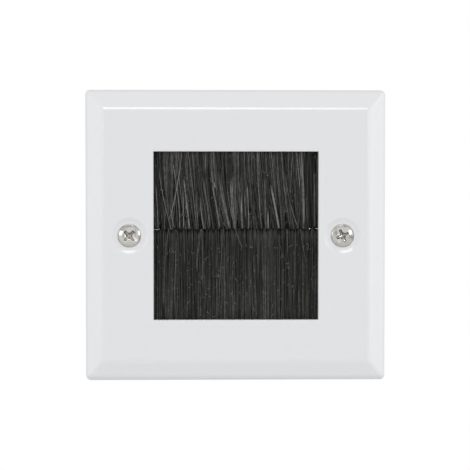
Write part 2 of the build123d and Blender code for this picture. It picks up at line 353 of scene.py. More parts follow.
def lay_strays(rng, strays):
    """Middle lines and tones of single filaments that stand out. Each row holds its tone, how many
    lie side by side, the heights between which it catches the light, how far its tip stands in
    front of the wire and four places where it is seen, root first, all in mm. A cubic in height
    joins the places, and the tone is a painted highlight: full between the two heights, it fades
    out a little way beyond them."""
    root_out = 0.95
    out_power = 0.7
    fade_length = 1.5
    spacing = 0.21
    aside_scatter = 0.03
    nearer_scatter = 0.05
    bend_scatter = 0.04
    tone_swing = 0.22
    paths = []
    tones = []
    share = np.linspace(0.0, 1.0, stray_stations)
    for tone, abreast, lit_from, lit_to, out, places in strays:
        across, up = np.array(places).T
        height = up[0] + (up[-1] - up[0]) * share
        line = np.polyval(np.polyfit(up, across, 3), height)
        forward = root_out + (out - root_out) * share**out_power
        beyond = np.maximum(height - max(lit_from, lit_to), min(lit_from, lit_to) - height)
        shown = tone * np.clip(1.0 - beyond / fade_length, 0.0, 1.0)
        for number in range(abreast):
            aside = spacing * (number - (abreast - 1) / 2) + rng.normal(0.0, aside_scatter)
            nearer = rng.normal(0.0, nearer_scatter)
            bend = rng.normal(0.0, bend_scatter) * np.sin(np.pi * share)
            swing = np.sin(share * rng.uniform(9.0, 24.0) + rng.uniform(0.0, 6.0))
            uneven = 1.0 + tone_swing * swing
            path = np.stack([line + aside + bend, -forward + nearer, height], axis=-1) * 0.001
            paths.append(path + np.array([0.0, wire_depth, 0.0]))
            tones.append(shown * uneven * rng.uniform(0.85, 1.15))
    return np.array(paths), np.array(tones)


def lay_lint(rng, count, side, tip_out):
    """Middle lines and tones of short bits of lint caught on the front of a brush, gently bent and
    lying at every angle. side is 1 above the seam and -1 below it; tip_out is how much farther out
    the front stands at the seam than at the mouth."""
    half_field = 0.0228
    mouth_height = 0.0235
    fall = 0.021
    stand_off = 0.00118
    shortest = 0.0002
    longer_by = 0.0012
    bend_scatter = 0.6
    stations = 5
    share = rng.random(count)[:, None]
    across = rng.uniform(-half_field, half_field, count)[:, None]
    angle = rng.uniform(0.0, np.pi, count)[:, None]
    length = shortest + longer_by * rng.random(count)[:, None] ** 2
    bend = rng.normal(0.0, bend_scatter, count)[:, None] * length
    along = np.linspace(-0.5, 0.5, stations)[None, :]
    sag = bend * (0.25 - along**2)
    x = across + length * along * np.cos(angle) - sag * np.sin(angle)
    height = side * (mouth_height - fall * share)
    height = height + length * along * np.sin(angle) + sag * np.cos(angle)
    depth = wire_depth - stand_off - tip_out * share + 0.0 * along
    tone = rng.uniform(0.5, 1.0, count)[:, None] + 0.0 * along
    return np.stack([x, depth, height], axis=-1), tone


def finish_brush(name, node, groups, rng, material):
    """One piece from groups of middle lines, each with its radii, tones and number of sides."""
    points = []
    face_sets = []
    tones = []
    for path, radius, tone, sides in groups:
        roll = rng.uniform(0.0, 2.0 * np.pi, len(path))
        skin, quads, caps = carry_section(path, radius, roll, sides)
        shift = sum(len(earlier) for earlier in points)
        points.append(skin)
        face_sets.extend([quads + shift, caps + shift])
        tones.append(np.repeat(tone.reshape(-1), sides))
    piece = build_mesh(name, np.concatenate(points), face_sets)
    attribute = piece.data.attributes.new("tone", "FLOAT", "POINT")
    attribute.data.foreach_set("value", np.concatenate(tones))
    piece.data.materials.append(material)
    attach(piece, "root")
    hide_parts(node)


def parted(tip_x):
    """Share from 0 to 1 by which the two rows of tips stand apart: at both ends of the seam, and at
    one small gap near the right-hand end."""
    left_end, left_run = -0.0210, 0.0012
    right_end, right_run = 0.0224, 0.0003
    gap_place, gap_reach, gap_height = 0.0211, 0.0003, 2.4
    left = np.clip((left_end - tip_x) / left_run, 0.0, 1.0)
    right = np.clip((tip_x - right_end) / right_run, 0.0, 1.0)
    gap = gap_height * np.exp(-(((tip_x - gap_place) / gap_reach) ** 2))
    return np.maximum(np.maximum(left, right), gap)


def upper_travel(rng, start):
    """The upper filaments lean to the right, unevenly from tuft to tuft, and less towards the
    right-hand end, where the cheek holds them back; a few lean the other way."""
    right_clear, right_reach = 0.0008, 0.010
    left_reach, left_least = 0.006, 0.3
    usual_lean, lean_scatter = 0.0019, 0.0009
    other_share, other_lean, other_scatter = 0.06, -0.0020, 0.0012
    room = np.clip((brush_half - start - right_clear) / right_reach, 0.0, 1.0)
    left = np.clip((start + brush_half) / left_reach, left_least, 1.0)
    lean = usual_lean + slow_wave(start, 5, (0.017, 0.009, 0.005), 0.0008)
    lean = lean + rng.normal(0.0, lean_scatter, len(start))
    stray = rng.random(len(start)) < other_share
    lean = np.where(stray, rng.normal(other_lean, other_scatter, len(start)), lean)
    return lean * room * left


def upper_tips(rng, tip_x, front):
    """The upper tips end on one slightly ragged line, in front of the wire and behind it alike."""
    hang, scatter, opening = 0.00004, 0.00014, 0.00005
    ragged = np.abs(rng.normal(0.0, scatter, len(tip_x)))
    return seam_height + seam_climb * tip_x - hang + ragged + opening * parted(tip_x)


def lower_travel(rng, start):
    """The lower filaments stand nearly upright."""
    end_reach, lean_scatter = 0.004, 0.0005
    room = np.clip((brush_half - np.abs(start)) / end_reach, 0.0, 1.0)
    lean = slow_wave(start, 8, (0.021, 0.011), 0.0003)
    lean = lean + rng.normal(0.0, lean_scatter, len(start))
    return lean * room


def lower_tips(rng, tip_x, front):
    """The lower tips reach up to the same line and a little past it, the rear ones more than the
    front ones, save where the two rows stand apart."""
    front_past, rear_past, scatter, opening = 0.00012, 0.0002, 0.00007, 0.00006
    past = (front_past if front < 0 else rear_past) + rng.normal(0.0, scatter, len(tip_x))
    apart = parted(tip_x)
    return -(seam_height + seam_climb * tip_x + past * (1.0 - apart) - opening * apart)


def nylon(name, dark, light, roughness):
    """Black nylon: each filament's tone between two blacks, painted light included, fine drawn
    streaks, and here and there a speck of lint."""
    material, nodes, links, shader = new_material(name, roughness)
    shader.inputs["Specular IOR Level"].default_value = 0.3
    tone = nodes.new("ShaderNodeAttribute")
    tone.attribute_name = "tone"
    place = nodes.new("ShaderNodeTexCoord")
    lint = nodes.new("ShaderNodeTexVoronoi")
    lint.inputs["Scale"].default_value = 800.0
    links.new(place.outputs["Object"], lint.inputs["Vector"])
    speck = nodes.new("ShaderNodeMapRange")
    speck.inputs["From Min"].default_value = 0.05
    speck.inputs["From Max"].default_value = 0.12
    speck.inputs["To Min"].default_value = 0.45
    speck.inputs["To Max"].default_value = 0.0
    links.new(lint.outputs["Distance"], speck.inputs["Value"])
    grain = add_grain(nodes, links, shader, 3600.0, 1100.0, 0.000004, (1.0, 1.0, 0.8))
    streak = nodes.new("ShaderNodeMapRange")
    streak.inputs["From Min"].default_value = 0.3
    streak.inputs["From Max"].default_value = 0.7
    streak.inputs["To Min"].default_value = 0.3
    streak.inputs["To Max"].default_value = 1.75
    links.new(grain.outputs["Height"], streak.inputs["Value"])
    streaked = nodes.new("ShaderNodeMath")
    streaked.operation = "MULTIPLY"
    links.new(tone.outputs["Fac"], streaked.inputs[0])
    links.new(streak.outputs["Result"], streaked.inputs[1])
    either = nodes.new("ShaderNodeMath")
    either.operation = "MAXIMUM"
    links.new(streaked.outputs[0], either.inputs[0])
    links.new(speck.outputs["Result"], either.inputs[1])
    vary(nodes, links, either.outputs[0], dark, light, shader.inputs["Base Color"])
    rough = shader.inputs["Roughness"]
    vary(nodes, links, grain.outputs["Drift"], roughness - 0.08, roughness + 0.1, rough)
    return material


# Upper brush. A loose field of nylon filaments that hang from the upper channel, then the ones
# that stand out in front of it, and bits of lint.
upper_strays = [
    (0.75, 1, 13.0, 1.9, 1.8, ((-22.9, 25.2), (-22.6, 13.0), (-22.3, 8.1), (-22.1, 2.2))),
    (1.00, 1, 24.4, 5.9, 2.1, ((-15.3, 25.2), (-16.0, 18.1), (-17.0, 12.4), (-18.5, 5.6))),
    (0.80, 1, 7.9, 1.9, 1.9, ((-18.9, 25.2), (-18.9, 13.0), (-18.4, 6.7), (-17.4, 2.3))),
    (0.90, 1, 17.0, 1.6, 2.0, ((-21.7, 25.2), (-21.2, 14.4), (-19.8, 7.6), (-18.3, 1.7))),
    (0.75, 1, 24.4, 2.2, 1.7, ((-18.3, 25.2), (-17.5, 18.1), (-16.5, 11.6), (-16.0, 2.2))),
    (1.00, 1, 11.9, 1.9, 1.9, ((-15.1, 25.2), (-15.0, 14.4), (-14.9, 8.7), (-14.9, 2.3))),
    (0.70, 2, 14.4, 1.9, 1.8, ((-14.9, 25.2), (-14.6, 14.4), (-13.8, 7.3), (-13.2, 2.2))),
    (0.50, 1, 24.4, 13.6, 1.6, ((-20.6, 25.2), (-20.4, 20.1), (-20.0, 13.6), (-19.2, 2.7))),
    (1.00, 1, 8.7, 1.9, 1.8, ((-10.1, 25.2), (-10.1, 14.4), (-9.9, 7.3), (-9.1, 2.0))),
    (0.60, 1, 22.4, 19.5, 1.5, ((-8.7, 25.2), (-8.6, 20.1), (-8.5, 15.8), (-7.6, 2.7))),
    (0.45, 2, 14.4, 2.5, 1.6, ((-9.5, 25.2), (-9.0, 14.4), (-8.0, 7.9), (-7.4, 2.5))),
    (0.45, 1, 19.3, 13.0, 1.6, ((-7.5, 25.2), (-7.0, 18.1), (-6.4, 13.6), (-4.8, 2.7))),
    (0.50, 2, 13.0, 2.7, 1.7, ((-7.2, 25.2), (-6.4, 13.0), (-5.5, 8.4), (-4.6, 2.5))),
    (0.45, 1, 11.6, 2.7, 1.5, ((-11.3, 25.2), (-11.2, 13.0), (-11.1, 7.9), (-10.8, 2.5))),
    (0.60, 3, 15.3, 2.5, 1.7, ((-5.5, 25.2), (-4.3, 15.0), (-3.1, 8.1), (-1.7, 2.2))),
    (0.60, 1, 7.3, 2.2, 1.8, ((-4.9, 25.2), (-3.9, 13.0), (-2.6, 6.2), (-2.1, 2.5))),
    (0.70, 3, 14.1, 2.2, 1.7, ((-1.8, 25.2), (-1.3, 13.6), (-0.9, 6.7), (-0.3, 2.0))),
    (0.75, 2, 10.1, 2.2, 1.6, ((1.3, 25.2), (1.5, 13.0), (1.6, 6.7), (1.8, 2.2))),
    (0.95, 1, 13.0, 1.9, 1.8, ((3.0, 25.2), (3.3, 13.0), (3.6, 7.3), (3.6, 2.0))),
    (0.50, 1, 10.7, 5.9, 1.6, ((2.3, 25.2), (2.5, 10.7), (2.8, 6.7), (2.8, 2.5))),
    (0.50, 1, 25.0, 20.7, 1.5, ((5.3, 25.2), (5.3, 20.1), (5.4, 13.0), (5.4, 2.5))),
    (0.55, 1, 25.0, 2.2, 1.7, ((6.0, 25.2), (6.2, 18.1), (6.7, 9.3), (7.3, 2.2))),
    (0.45, 2, 15.0, 2.2, 1.6, ((8.2, 25.2), (8.3, 14.4), (8.4, 8.7), (8.5, 1.9))),
    (0.85, 2, 5.9, 1.9, 1.7, ((9.2, 25.2), (9.1, 14.4), (9.1, 8.1), (9.2, 2.1))),
    (0.50, 1, 21.5, 18.7, 1.5, ((9.2, 25.2), (9.3, 20.1), (9.3, 15.8), (10.3, 2.7))),
    (1.00, 2, 13.0, 2.2, 2.0, ((9.3, 25.2), (10.2, 13.0), (11.2, 7.7), (12.2, 2.2))),
    (0.45, 1, 17.3, 2.2, 1.6, ((11.4, 25.2), (12.1, 13.0), (12.9, 6.7), (13.7, 1.9))),
    (0.45, 1, 15.8, 9.6, 1.6, ((13.5, 25.2), (14.4, 14.4), (15.3, 9.6), (16.5, 2.7))),
    (0.90, 1, 8.1, 2.2, 1.8, ((13.9, 25.2), (15.3, 10.1), (16.2, 6.4), (17.7, 2.2))),
    (1.00, 1, 24.4, 14.4, 1.9, ((17.2, 25.2), (17.6, 20.1), (18.1, 15.0), (18.6, 2.7))),
    (0.90, 2, 24.4, 3.9, 1.8, ((18.6, 25.2), (19.0, 17.3), (19.3, 10.1), (19.2, 2.7))),
    (0.35, 1, 10.1, 2.7, 1.6, ((19.6, 25.2), (19.9, 11.6), (20.2, 6.4), (20.6, 2.7))),
    (0.50, 1, 5.0, 1.9, 1.6, ((14.6, 25.2), (15.4, 11.6), (16.0, 5.9), (16.5, 2.0))),
    (0.40, 2, 15.8, 2.7, 1.4, ((22.3, 25.2), (22.4, 14.4), (22.4, 8.7), (22.5, 2.7))),
    (0.45, 1, 13.0, -4.1, 2.1, ((-3.2, 25.2), (-2.2, 11.6), (-0.2, 1.9), (1.8, -3.5))),
]
upper_tufts = np.array(
    [-22.2, -20.7, -18.5, -15.6, -13.5, -11.1, -9.2, -7.6, -4.9, -1.9, -0.4, 1.8, 3.6, 5.3, 7.2]
    + [9.2, 12.0, 13.6, 15.4, 17.4, 19.1, 20.6, 22.6, -6.2]
) * 0.001
upper_nylon = nylon(
    "upper_black_nylon",
    dark=(0.011, 0.011, 0.0098, 1.0),
    light=(0.21, 0.21, 0.195, 1.0),
    roughness=0.36,
)
rng = np.random.default_rng(11)
upper_count = 900
upper_path = lay_brush(
    rng, upper_count, upper_travel, upper_tips, upper_tufts,
    pull=0.95, fan=0.0007, set_back=-0.0002, bow=0.00024,
)
# How far out from its root each station counts for its tone: down the front leg from its tip, round
# the wire, and along the rear leg, which counts as near the root throughout
share_out = np.concatenate(
    [
        np.linspace(1.0, 0.0, leg_stations),
        np.zeros(turn_stations),
        np.linspace(0.0, 0.3, leg_stations),
    ]
)
# Most filaments are near black and a few are brighter. Painted light makes each one brightest at
# its root, where the edge of the plate shades it; it is also a little lighter at its tip than along
# its middle.
upper_top_tone = 0.41
upper_bright_share = 0.08
upper_tone = upper_top_tone * rng.random(upper_count) ** 2.3
upper_bright = rng.random(upper_count) < upper_bright_share
upper_tone = np.where(upper_bright, rng.uniform(0.3, 0.7, upper_count), upper_tone)
upper_painted_light = 0.86 + 0.14 * np.abs(2.0 * share_out - 1.0) + 0.6 * (1.0 - share_out) ** 3
upper_tone = upper_tone[:, None] * upper_painted_light[None, :]
upper_radius = rng.uniform(0.00013, 0.00019, upper_count)
stray_path, stray_tone = lay_strays(rng, upper_strays)
stray_radius = rng.uniform(0.00009, 0.00013, len(stray_path))
lint_path, lint_tone = lay_lint(rng, 130, 1, 0.0009)
upper_groups = [
    (upper_path, upper_radius, upper_tone, 4),
    (stray_path, stray_radius, stray_tone, 6),
    (lint_path, rng.uniform(0.00004, 0.00009, len(lint_path)), lint_tone, 4),
]
finish_brush("upper_filaments", "upper_bristles", upper_groups, rng, upper_nylon)

# Lower brush. A denser field of finer nylon filaments that stand up from the lower channel. It is
# worked out like the upper one and turned over, with fewer that stand out in front.
lower_strays = [
    (0.60, 1, -18.3, 1.9, 1.6, ((-21.0, -24.9), (-20.4, -11.2), (-20.0, -4.7), (-19.0, 1.9))),
    (0.60, 1, -18.3, -2.1, 1.6, ((-17.5, -24.9), (-17.4, -14.1), (-17.2, -7.5), (-16.9, 1.9))),
    (0.45, 1, -6.4, 1.9, 1.5, ((-14.2, -24.9), (-14.4, -9.8), (-14.7, -2.7), (-14.8, 1.9))),
    (0.50, 2, -8.4, 1.6, 1.6, ((-11.3, -24.9), (-11.2, -9.8), (-10.8, -4.1), (-9.9, 1.9))),
    (0.55, 1, -12.6, 1.0, 1.6, ((-9.3, -24.9), (-9.4, -12.6), (-9.5, -4.1), (-9.7, 1.9))),
    (0.60, 1, -21.8, 0.7, 1.6, ((-4.8, -24.9), (-4.4, -11.2), (-4.0, -4.1), (-3.9, 1.9))),
    (0.55, 1, -7.5, 1.9, 1.7, ((21.4, -24.9), (20.4, -9.2), (19.1, -3.0), (18.5, 1.9))),
    (0.30, 1, -9.5, -1.3, 1.7, ((19.1, -24.9), (16.0, -12.4), (13.2, -5.0), (11.5, 1.9))),
    (0.45, 1, -23.5, -12.6, 1.5, ((4.9, -24.9), (4.6, -16.9), (4.5, -9.8), (4.4, 1.9))),
    (0.40, 2, -9.8, 0.2, 1.5, ((6.0, -24.9), (6.3, -12.6), (6.3, -4.1), (6.3, 1.9))),
    (0.40, 2, -18.3, -9.8, 1.5, ((14.2, -24.9), (13.5, -14.1), (13.6, -7.0), (13.4, 1.9))),
    (0.45, 1, -4.1, 1.9, 1.5, ((15.4, -24.9), (14.9, -11.2), (14.7, -2.7), (14.6, 1.9))),
    (0.40, 2, -24.0, -15.5, 1.5, ((18.0, -24.9), (18.0, -16.9), (17.9, -8.4), (17.9, 1.9))),
]
lower_nylon = nylon(
    "lower_black_nylon",
    dark=(0.0090, 0.0090, 0.0081, 1.0),
    light=(0.20, 0.20, 0.185, 1.0),
    roughness=0.42,
)
rng = np.random.default_rng(12)
lower_count = 1100
tuft_count = 34
lower_tufts = np.linspace(-brush_half, brush_half, tuft_count)
lower_tufts = lower_tufts + rng.normal(0.0, 0.0003, tuft_count)
lower_path = lay_brush(
    rng, lower_count, lower_travel, lower_tips, lower_tufts,
    pull=0.5, fan=0.0005, set_back=0.0002, bow=0.0002,
)
lower_path = lower_path[:, ::-1] * np.array([1.0, 1.0, -1.0])
lower_top_tone = 0.265
lower_bright_share = 0.06
lower_tone = lower_top_tone * rng.random(lower_count) ** 1.5
lower_bright = rng.random(lower_count) < lower_bright_share
lower_tone = np.where(lower_bright, rng.uniform(0.23, 0.45, lower_count), lower_tone)
# Painted light: each filament is lightest at its root, where the edge of the plate shades it,
# darkens up its length and is lightened again at its very tip, where the upper brush shades it
lower_painted_light = 1.4 - 1.0 * share_out[::-1] + 0.6 * share_out[::-1] ** 12
lower_tone = lower_tone[:, None] * lower_painted_light[None, :]
lower_radius = rng.uniform(0.00011, 0.00016, lower_count)
stray_path, stray_tone = lay_strays(rng, lower_strays)
stray_dimming = 0.6
stray_tone = stray_dimming * stray_tone
stray_radius = rng.uniform(0.00009, 0.00012, len(stray_path))
lint_path, lint_tone = lay_lint(rng, 230, -1, 0.0004)
lower_groups = [
    (lower_path, lower_radius, lower_tone, 4),
    (stray_path, stray_radius, stray_tone, 6),
    (lint_path, rng.uniform(0.00004, 0.00009, len(lint_path)), lint_tone, 4),
]
finish_brush("lower_filaments", "lower_bristles", lower_groups, rng, lower_nylon)

# Retaining bars. Zinc-plated flat steel across the back of each channel, held by a small screw in
# a moulded boss at either end.
bar_steel, nodes, links, shader = new_material("zinc_plated_bar", 0.34, 1.0)
grain = add_grain(nodes, links, shader, 4200.0, 260.0, 0.000008, (0.25, 1.0, 1.0))
drift = grain.outputs["Drift"]
base = shader.inputs["Base Color"]
vary(nodes, links, drift, (0.38, 0.39, 0.41, 1.0), (0.54, 0.55, 0.565, 1.0), base)
vary(nodes, links, drift, 0.26, 0.44, shader.inputs["Roughness"])
for name in ("upper_retaining_bar", "lower_retaining_bar"):
    wear(name, bar_steel)

# Retaining screws. Four small zinc-plated pan-head screws with a cross recess, which hold the bars:
# heads on the bars, facing the wall, and shanks down the moulded bosses.
head_rows = 36
# Radius of a ring that closes on the axis, so that it still has a size
hair = 0.00002


def cross_recess(across, up, span, width, depth, edge):
    """Depth of a cross recess under each point of a screw head: two crossed slots, deepest in the
    middle and rising to their ends, with walls that slope over the given edge. Between the slots
    the middle is driven out round, to a share of their depth."""
    end_power = 0.45
    round_share = 0.25
    round_depth = 0.62
    near = np.minimum(np.abs(across), np.abs(up))
    far = np.maximum(np.abs(across), np.abs(up))
    wall = np.clip((width / 2 - near) / edge, 0.0, 1.0)
    ends = np.clip((span / 2 - far) / (span / 2), 0.0, 1.0) ** end_power
    core = np.clip((round_share * span - np.hypot(across, up)) / edge, 0.0, 1.0)
    return depth * np.maximum(wall * ends, round_depth * core * ends)


def turned_screw(profile, spokes, spot, facing, recess, turn, thread, painted_spots):
    """Points and faces of one screw. profile is rows of radius and height along the axis, from the
    top of the head to the point; each row is a ring of spokes. Inside the head's rows the recess is
    sunk in height; along the thread the radius follows a trapezoid that winds once a pitch. facing
    is 1 where the head faces the room and -1 where it faces the wall. The last argument holds
    painted spots: rows of a soft spot's place across and up from the axis, its reach both ways, all
    in mm, and how much painted shade it lays over the head's reflections, below nothing where it is
    a painted highlight instead."""
    crest_breadth, crest_slope = 1.7, 3.2
    recess_painted_shade_depth = 0.45
    head_rim_painted_shade, rim_power = 0.5, 6
    recess_middle_lift, recess_middle_reach = 0.55, 0.16
    groove_soil = 0.9
    radius = np.repeat(profile[:, :1], spokes, axis=1)
    height = np.repeat(profile[:, 1:2], spokes, axis=1)
    angle = np.linspace(0.0, 2.0 * np.pi, spokes, endpoint=False)[None, :]
    groove = np.zeros_like(radius)
    if thread is not None:
        top, bottom, pitch, cut = thread
        phase = (height / pitch + angle / (2.0 * np.pi)) % 1.0
        crest = np.clip(crest_breadth - crest_slope * np.abs(2.0 * phase - 1.0), 0.0, 1.0)
        run_in = np.clip((top - height) / pitch, 0.0, 1.0)
        on_thread = (height < top) & (height > bottom)
        groove = np.where(on_thread, (1.0 - crest) * run_in, 0.0)
        radius = radius - cut * groove
    across = radius * np.cos(angle)
    up = radius * np.sin(angle)
    span, width, depth, edge = recess
    turned_across = across * math.cos(turn) + up * math.sin(turn)
    turned_up = up * math.cos(turn) - across * math.sin(turn)
    sunk = cross_recess(turned_across, turned_up, span, width, depth, edge)
    on_head = (np.arange(len(profile)) < head_rows)[:, None]
    height = np.where(on_head, height - sunk, height)
    # Painted shade darkens each head towards its rim, standing in for darker reflections there, and
    # in its recess, less so in the recess's middle; along the thread the grooves carry soil.
    rim = np.clip(radius / profile[head_rows - 1, 0], 0.0, 1.0) ** rim_power
    middle = 1.0 - recess_middle_lift * np.exp(-((radius / (recess_middle_reach * span)) ** 2))
    soil_and_painted_light = np.clip(sunk / (recess_painted_shade_depth * depth), 0.0, 1.0) * middle + head_rim_painted_shade * rim
    # Painted spots: painted shade laid over the head's reflections, and painted highlights where
    # the amount is below nothing
    for spot_across, spot_up, reach_across, reach_up, amount in painted_spots:
        off_across = (1000.0 * across - spot_across) / reach_across
        off_up = (1000.0 * up - spot_up) / reach_up
        soil_and_painted_light = soil_and_painted_light + amount * np.exp(-(off_across**2) - off_up**2)
    soil_and_painted_light = np.where(on_head, np.clip(soil_and_painted_light, -1.0, 1.0), groove_soil * groove)
    points = np.stack([spot[0] + across, -facing * height, spot[1] + up], axis=-1).reshape(-1, 3)
    index = np.arange(len(profile) * spokes).reshape(-1, spokes)
    after = np.roll(index, -1, axis=1)
    quads = np.stack([index[:-1], index[1:], after[1:], after[:-1]], axis=-1).reshape(-1, 4)
    caps = np.stack([index[0], index[-1][::-1]])
    if facing < 0:
        quads = quads[:, ::-1]
        caps = caps[:, ::-1]
    return points, quads, caps, soil_and_painted_light.reshape(-1)


def join_screws(name, node, screws, material):
    """One piece from several screws of the same kind, with the share of soil and painted light at
    each point.
    """
    points = np.concatenate([screw[0] for screw in screws])
    shift = np.cumsum([0] + [len(screw[0]) for screw in screws[:-1]])
    quads = np.concatenate([screw[1] + step for screw, step in zip(screws, shift)])
    caps = np.concatenate([screw[2] + step for screw, step in zip(screws, shift)])
    piece = build_mesh(name, points, [quads, caps])
    attribute = piece.data.attributes.new("soil_and_painted_light", "FLOAT", "POINT")
    attribute.data.foreach_set("value", np.concatenate([screw[3] for screw in screws]))
    piece.data.materials.append(material)
    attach(piece, "root")
    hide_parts(node)


def paint_soil_and_light(nodes, links, mix, soil_and_shade_colour, painted_highlight_colour, target, grain):
    """Lays a darker tone, for soil and painted shade, over a varied one wherever a screw's points
    carry it, in uneven grains, and a brighter one, a painted highlight, where their share is below
    nothing."""
    soil_and_painted_light = nodes.new("ShaderNodeAttribute")
    soil_and_painted_light.attribute_name = "soil_and_painted_light"
    cover = nodes.new("ShaderNodeMix")
    cover.data_type = "RGBA"
    cover.inputs[mix_second].default_value = soil_and_shade_colour
    links.new(mix.outputs[mix_result], cover.inputs[mix_first])
    uneven = nodes.new("ShaderNodeMapRange")
    uneven.inputs["From Min"].default_value = 0.38
    uneven.inputs["From Max"].default_value = 0.62
    uneven.inputs["To Min"].default_value = 0.35
    uneven.inputs["To Max"].default_value = 1.4
    links.new(grain.outputs["Height"], uneven.inputs["Value"])
    share = nodes.new("ShaderNodeMath")
    share.operation = "MULTIPLY"
    share.use_clamp = True
    links.new(soil_and_painted_light.outputs["Fac"], share.inputs[0])
    links.new(uneven.outputs["Result"], share.inputs[1])
    links.new(share.outputs[0], cover.inputs["Factor"])
    painted_highlight_share = nodes.new("ShaderNodeMath")
    painted_highlight_share.operation = "MULTIPLY"
    painted_highlight_share.use_clamp = True
    painted_highlight_share.inputs[1].default_value = -1.0
    links.new(soil_and_painted_light.outputs["Fac"], painted_highlight_share.inputs[0])
    painted_highlight_mix = nodes.new("ShaderNodeMix")
    painted_highlight_mix.data_type = "RGBA"
    painted_highlight_mix.inputs[mix_second].default_value = painted_highlight_colour
    links.new(cover.outputs[mix_result], painted_highlight_mix.inputs[mix_first])
    links.new(painted_highlight_share.outputs[0], painted_highlight_mix.inputs["Factor"])
    links.new(painted_highlight_mix.outputs[mix_result], target)


small_screw_steel, nodes, links, shader = new_material("zinc_plated_small_screw", 0.3, 1.0)
grain = add_grain(nodes, links, shader, 5200.0, 800.0, 0.000006)
drift = grain.outputs["Drift"]
base = shader.inputs["Base Color"]
tones = vary(nodes, links, drift, (0.42, 0.42, 0.42, 1.0), (0.60, 0.60, 0.61, 1.0), base)
# Painted shade in the recess and round the rim of each head
paint_soil_and_light(nodes, links, tones, (0.22, 0.22, 0.22, 1.0), (0.8, 0.8, 0.8, 1.0), base, grain)
small_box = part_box("retaining_screws")
small_head = 0.0020
small_shank = 0.0009
small_point = 0.0006
small_spokes = 72
small_back = -small_box[1][1]
small_tip = -small_box[0][1]
head_height = 0.0010
crown_share = 0.6
crown_power = 1.4
# How far the head and the tip stay inside the solid's length
head_inset = 0.00001
tip_inset = 0.00002
across_spots = (small_box[0][0] + small_head, small_box[1][0] - small_head)
up_spots = (small_box[0][2] + small_head, small_box[1][2] - small_head)
shares = np.linspace(0.0, 1.0, head_rows)
crown = np.stack(
    [
        hair + (small_head - hair) * np.sin(0.5 * np.pi * shares),
        -small_back - head_inset
        - crown_share * head_height * (1.0 - np.cos(0.5 * np.pi * shares)) ** crown_power,
    ],
    axis=-1,
)
lower_rows = np.array(
    [
        (small_head, -small_back - head_height),
        (small_shank, -small_back - head_height),
        (small_shank, -small_tip + small_point),
        (0.3 * small_shank, -small_tip + tip_inset),
    ]
)
small_profile = np.concatenate([crown, lower_rows])
# Cross recess: its span, width and depth, and the slope of its walls
small_recess = (0.0022, 0.00055, 0.0006, 0.00008)
small_screws = [
    turned_screw(
        small_profile, small_spokes, (across, up), -1, small_recess,
        math.radians(17.0 + 40.0 * number), None, [],
    )
    for number, (across, up) in enumerate((x, z) for x in across_spots for z in up_spots)
]
join_screws(
    "pan_head_screws", "retaining_screws", small_screws, small_screw_steel
)

# Fixing screws. Two M3.5 machine screws with nickel-plated raised countersunk heads, driven
# through the dished seats of the plate into the wall box.
screw_nickel, nodes, links, shader = new_material("nickel_plated_screw", 0.16, 1.0)
grain = add_grain(nodes, links, shader, 3200.0, 900.0, 0.000010)
drift = grain.outputs["Drift"]
base = shader.inputs["Base Color"]
tones = vary(nodes, links, drift, (0.50, 0.49, 0.47, 1.0), (0.69, 0.68, 0.65, 1.0), base)
# Soil and painted shade darken the nickel; the bright colour is a painted highlight
paint_soil_and_light(
    nodes, links, tones, (0.27, 0.255, 0.232, 1.0), (0.98, 0.975, 0.95, 1.0), base, grain
)
screw_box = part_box("fixing_screws")
head_radius = (screw_box[1][2] - screw_box[0][2]) / 2
screw_top = -screw_box[0][1]
screw_end = -screw_box[1][1]
screw_spread = screw_box[1][0] - head_radius
rim_height = 0.00015
dome_height = 0.0007
neck_radius = 0.00155
thread_radius = 0.00175
thread_pitch = 0.0006
thread_cut = 0.00034
rows_per_turn = 7.0
neck_end = 0.0004
point_length = 0.0004
fixing_spokes = 112
# Cross recess: its span, width and depth, and the slope of its walls
fixing_recess = (0.0038, 0.00085, 0.0015, 0.00022)
shares = np.linspace(0.0, 1.0, head_rows)
dome_curve = (head_radius**2 + dome_height**2) / (2.0 * dome_height)
ring_radius = hair + (head_radius - hair) * shares
dome = np.stack(
    [ring_radius, screw_top - dome_curve + np.sqrt(dome_curve**2 - ring_radius**2)], axis=-1
)
rim_level = screw_top - dome_height - rim_height
neck_level = rim_level - (head_radius - neck_radius)
thread_rows = np.arange(0.0, screw_end + point_length, -thread_pitch / rows_per_turn)
stem = np.concatenate(
    [
        [(head_radius, rim_level), (neck_radius, neck_level), (neck_radius, neck_end)],
        np.stack([np.full(len(thread_rows), thread_radius), thread_rows], axis=-1),
        [(thread_radius - point_length, screw_end), (hair, screw_end)],
    ]
)
screw_profile = np.concatenate([dome, stem])
